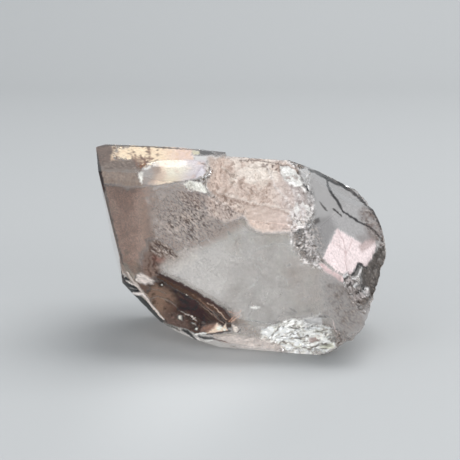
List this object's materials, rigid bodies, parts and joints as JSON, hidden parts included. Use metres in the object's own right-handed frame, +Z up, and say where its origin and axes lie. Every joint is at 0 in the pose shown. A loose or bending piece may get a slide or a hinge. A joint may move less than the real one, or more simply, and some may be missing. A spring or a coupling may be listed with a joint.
{
  "type": "smoky quartz crystal",
  "caption": "Natural broken smoky quartz crystal, clear grey-brown and glassy, with flat growth faces, a fractured shoulder and a flat facet that it rests on; a hand specimen or ornament.",
  "frame": {"origin": "middle of the bounding box at its lowest level, under the crystal, on the plane it rests on", "axes": "+Z up, +X along the crystal's length towards its rounded broken end, -Y out of its large clear front face"},
  "size_m": [0.0726, 0.0394, 0.0478],
  "materials": {
    "smoky_quartz": "clear glassy smoky quartz, brown-grey, with frosted fracture surfaces, internal veils and cracks"
  },
  "bodies": {
    "root": {"smoky_quartz_crystal": "smoky_quartz"}
  },
  "joints": []
}
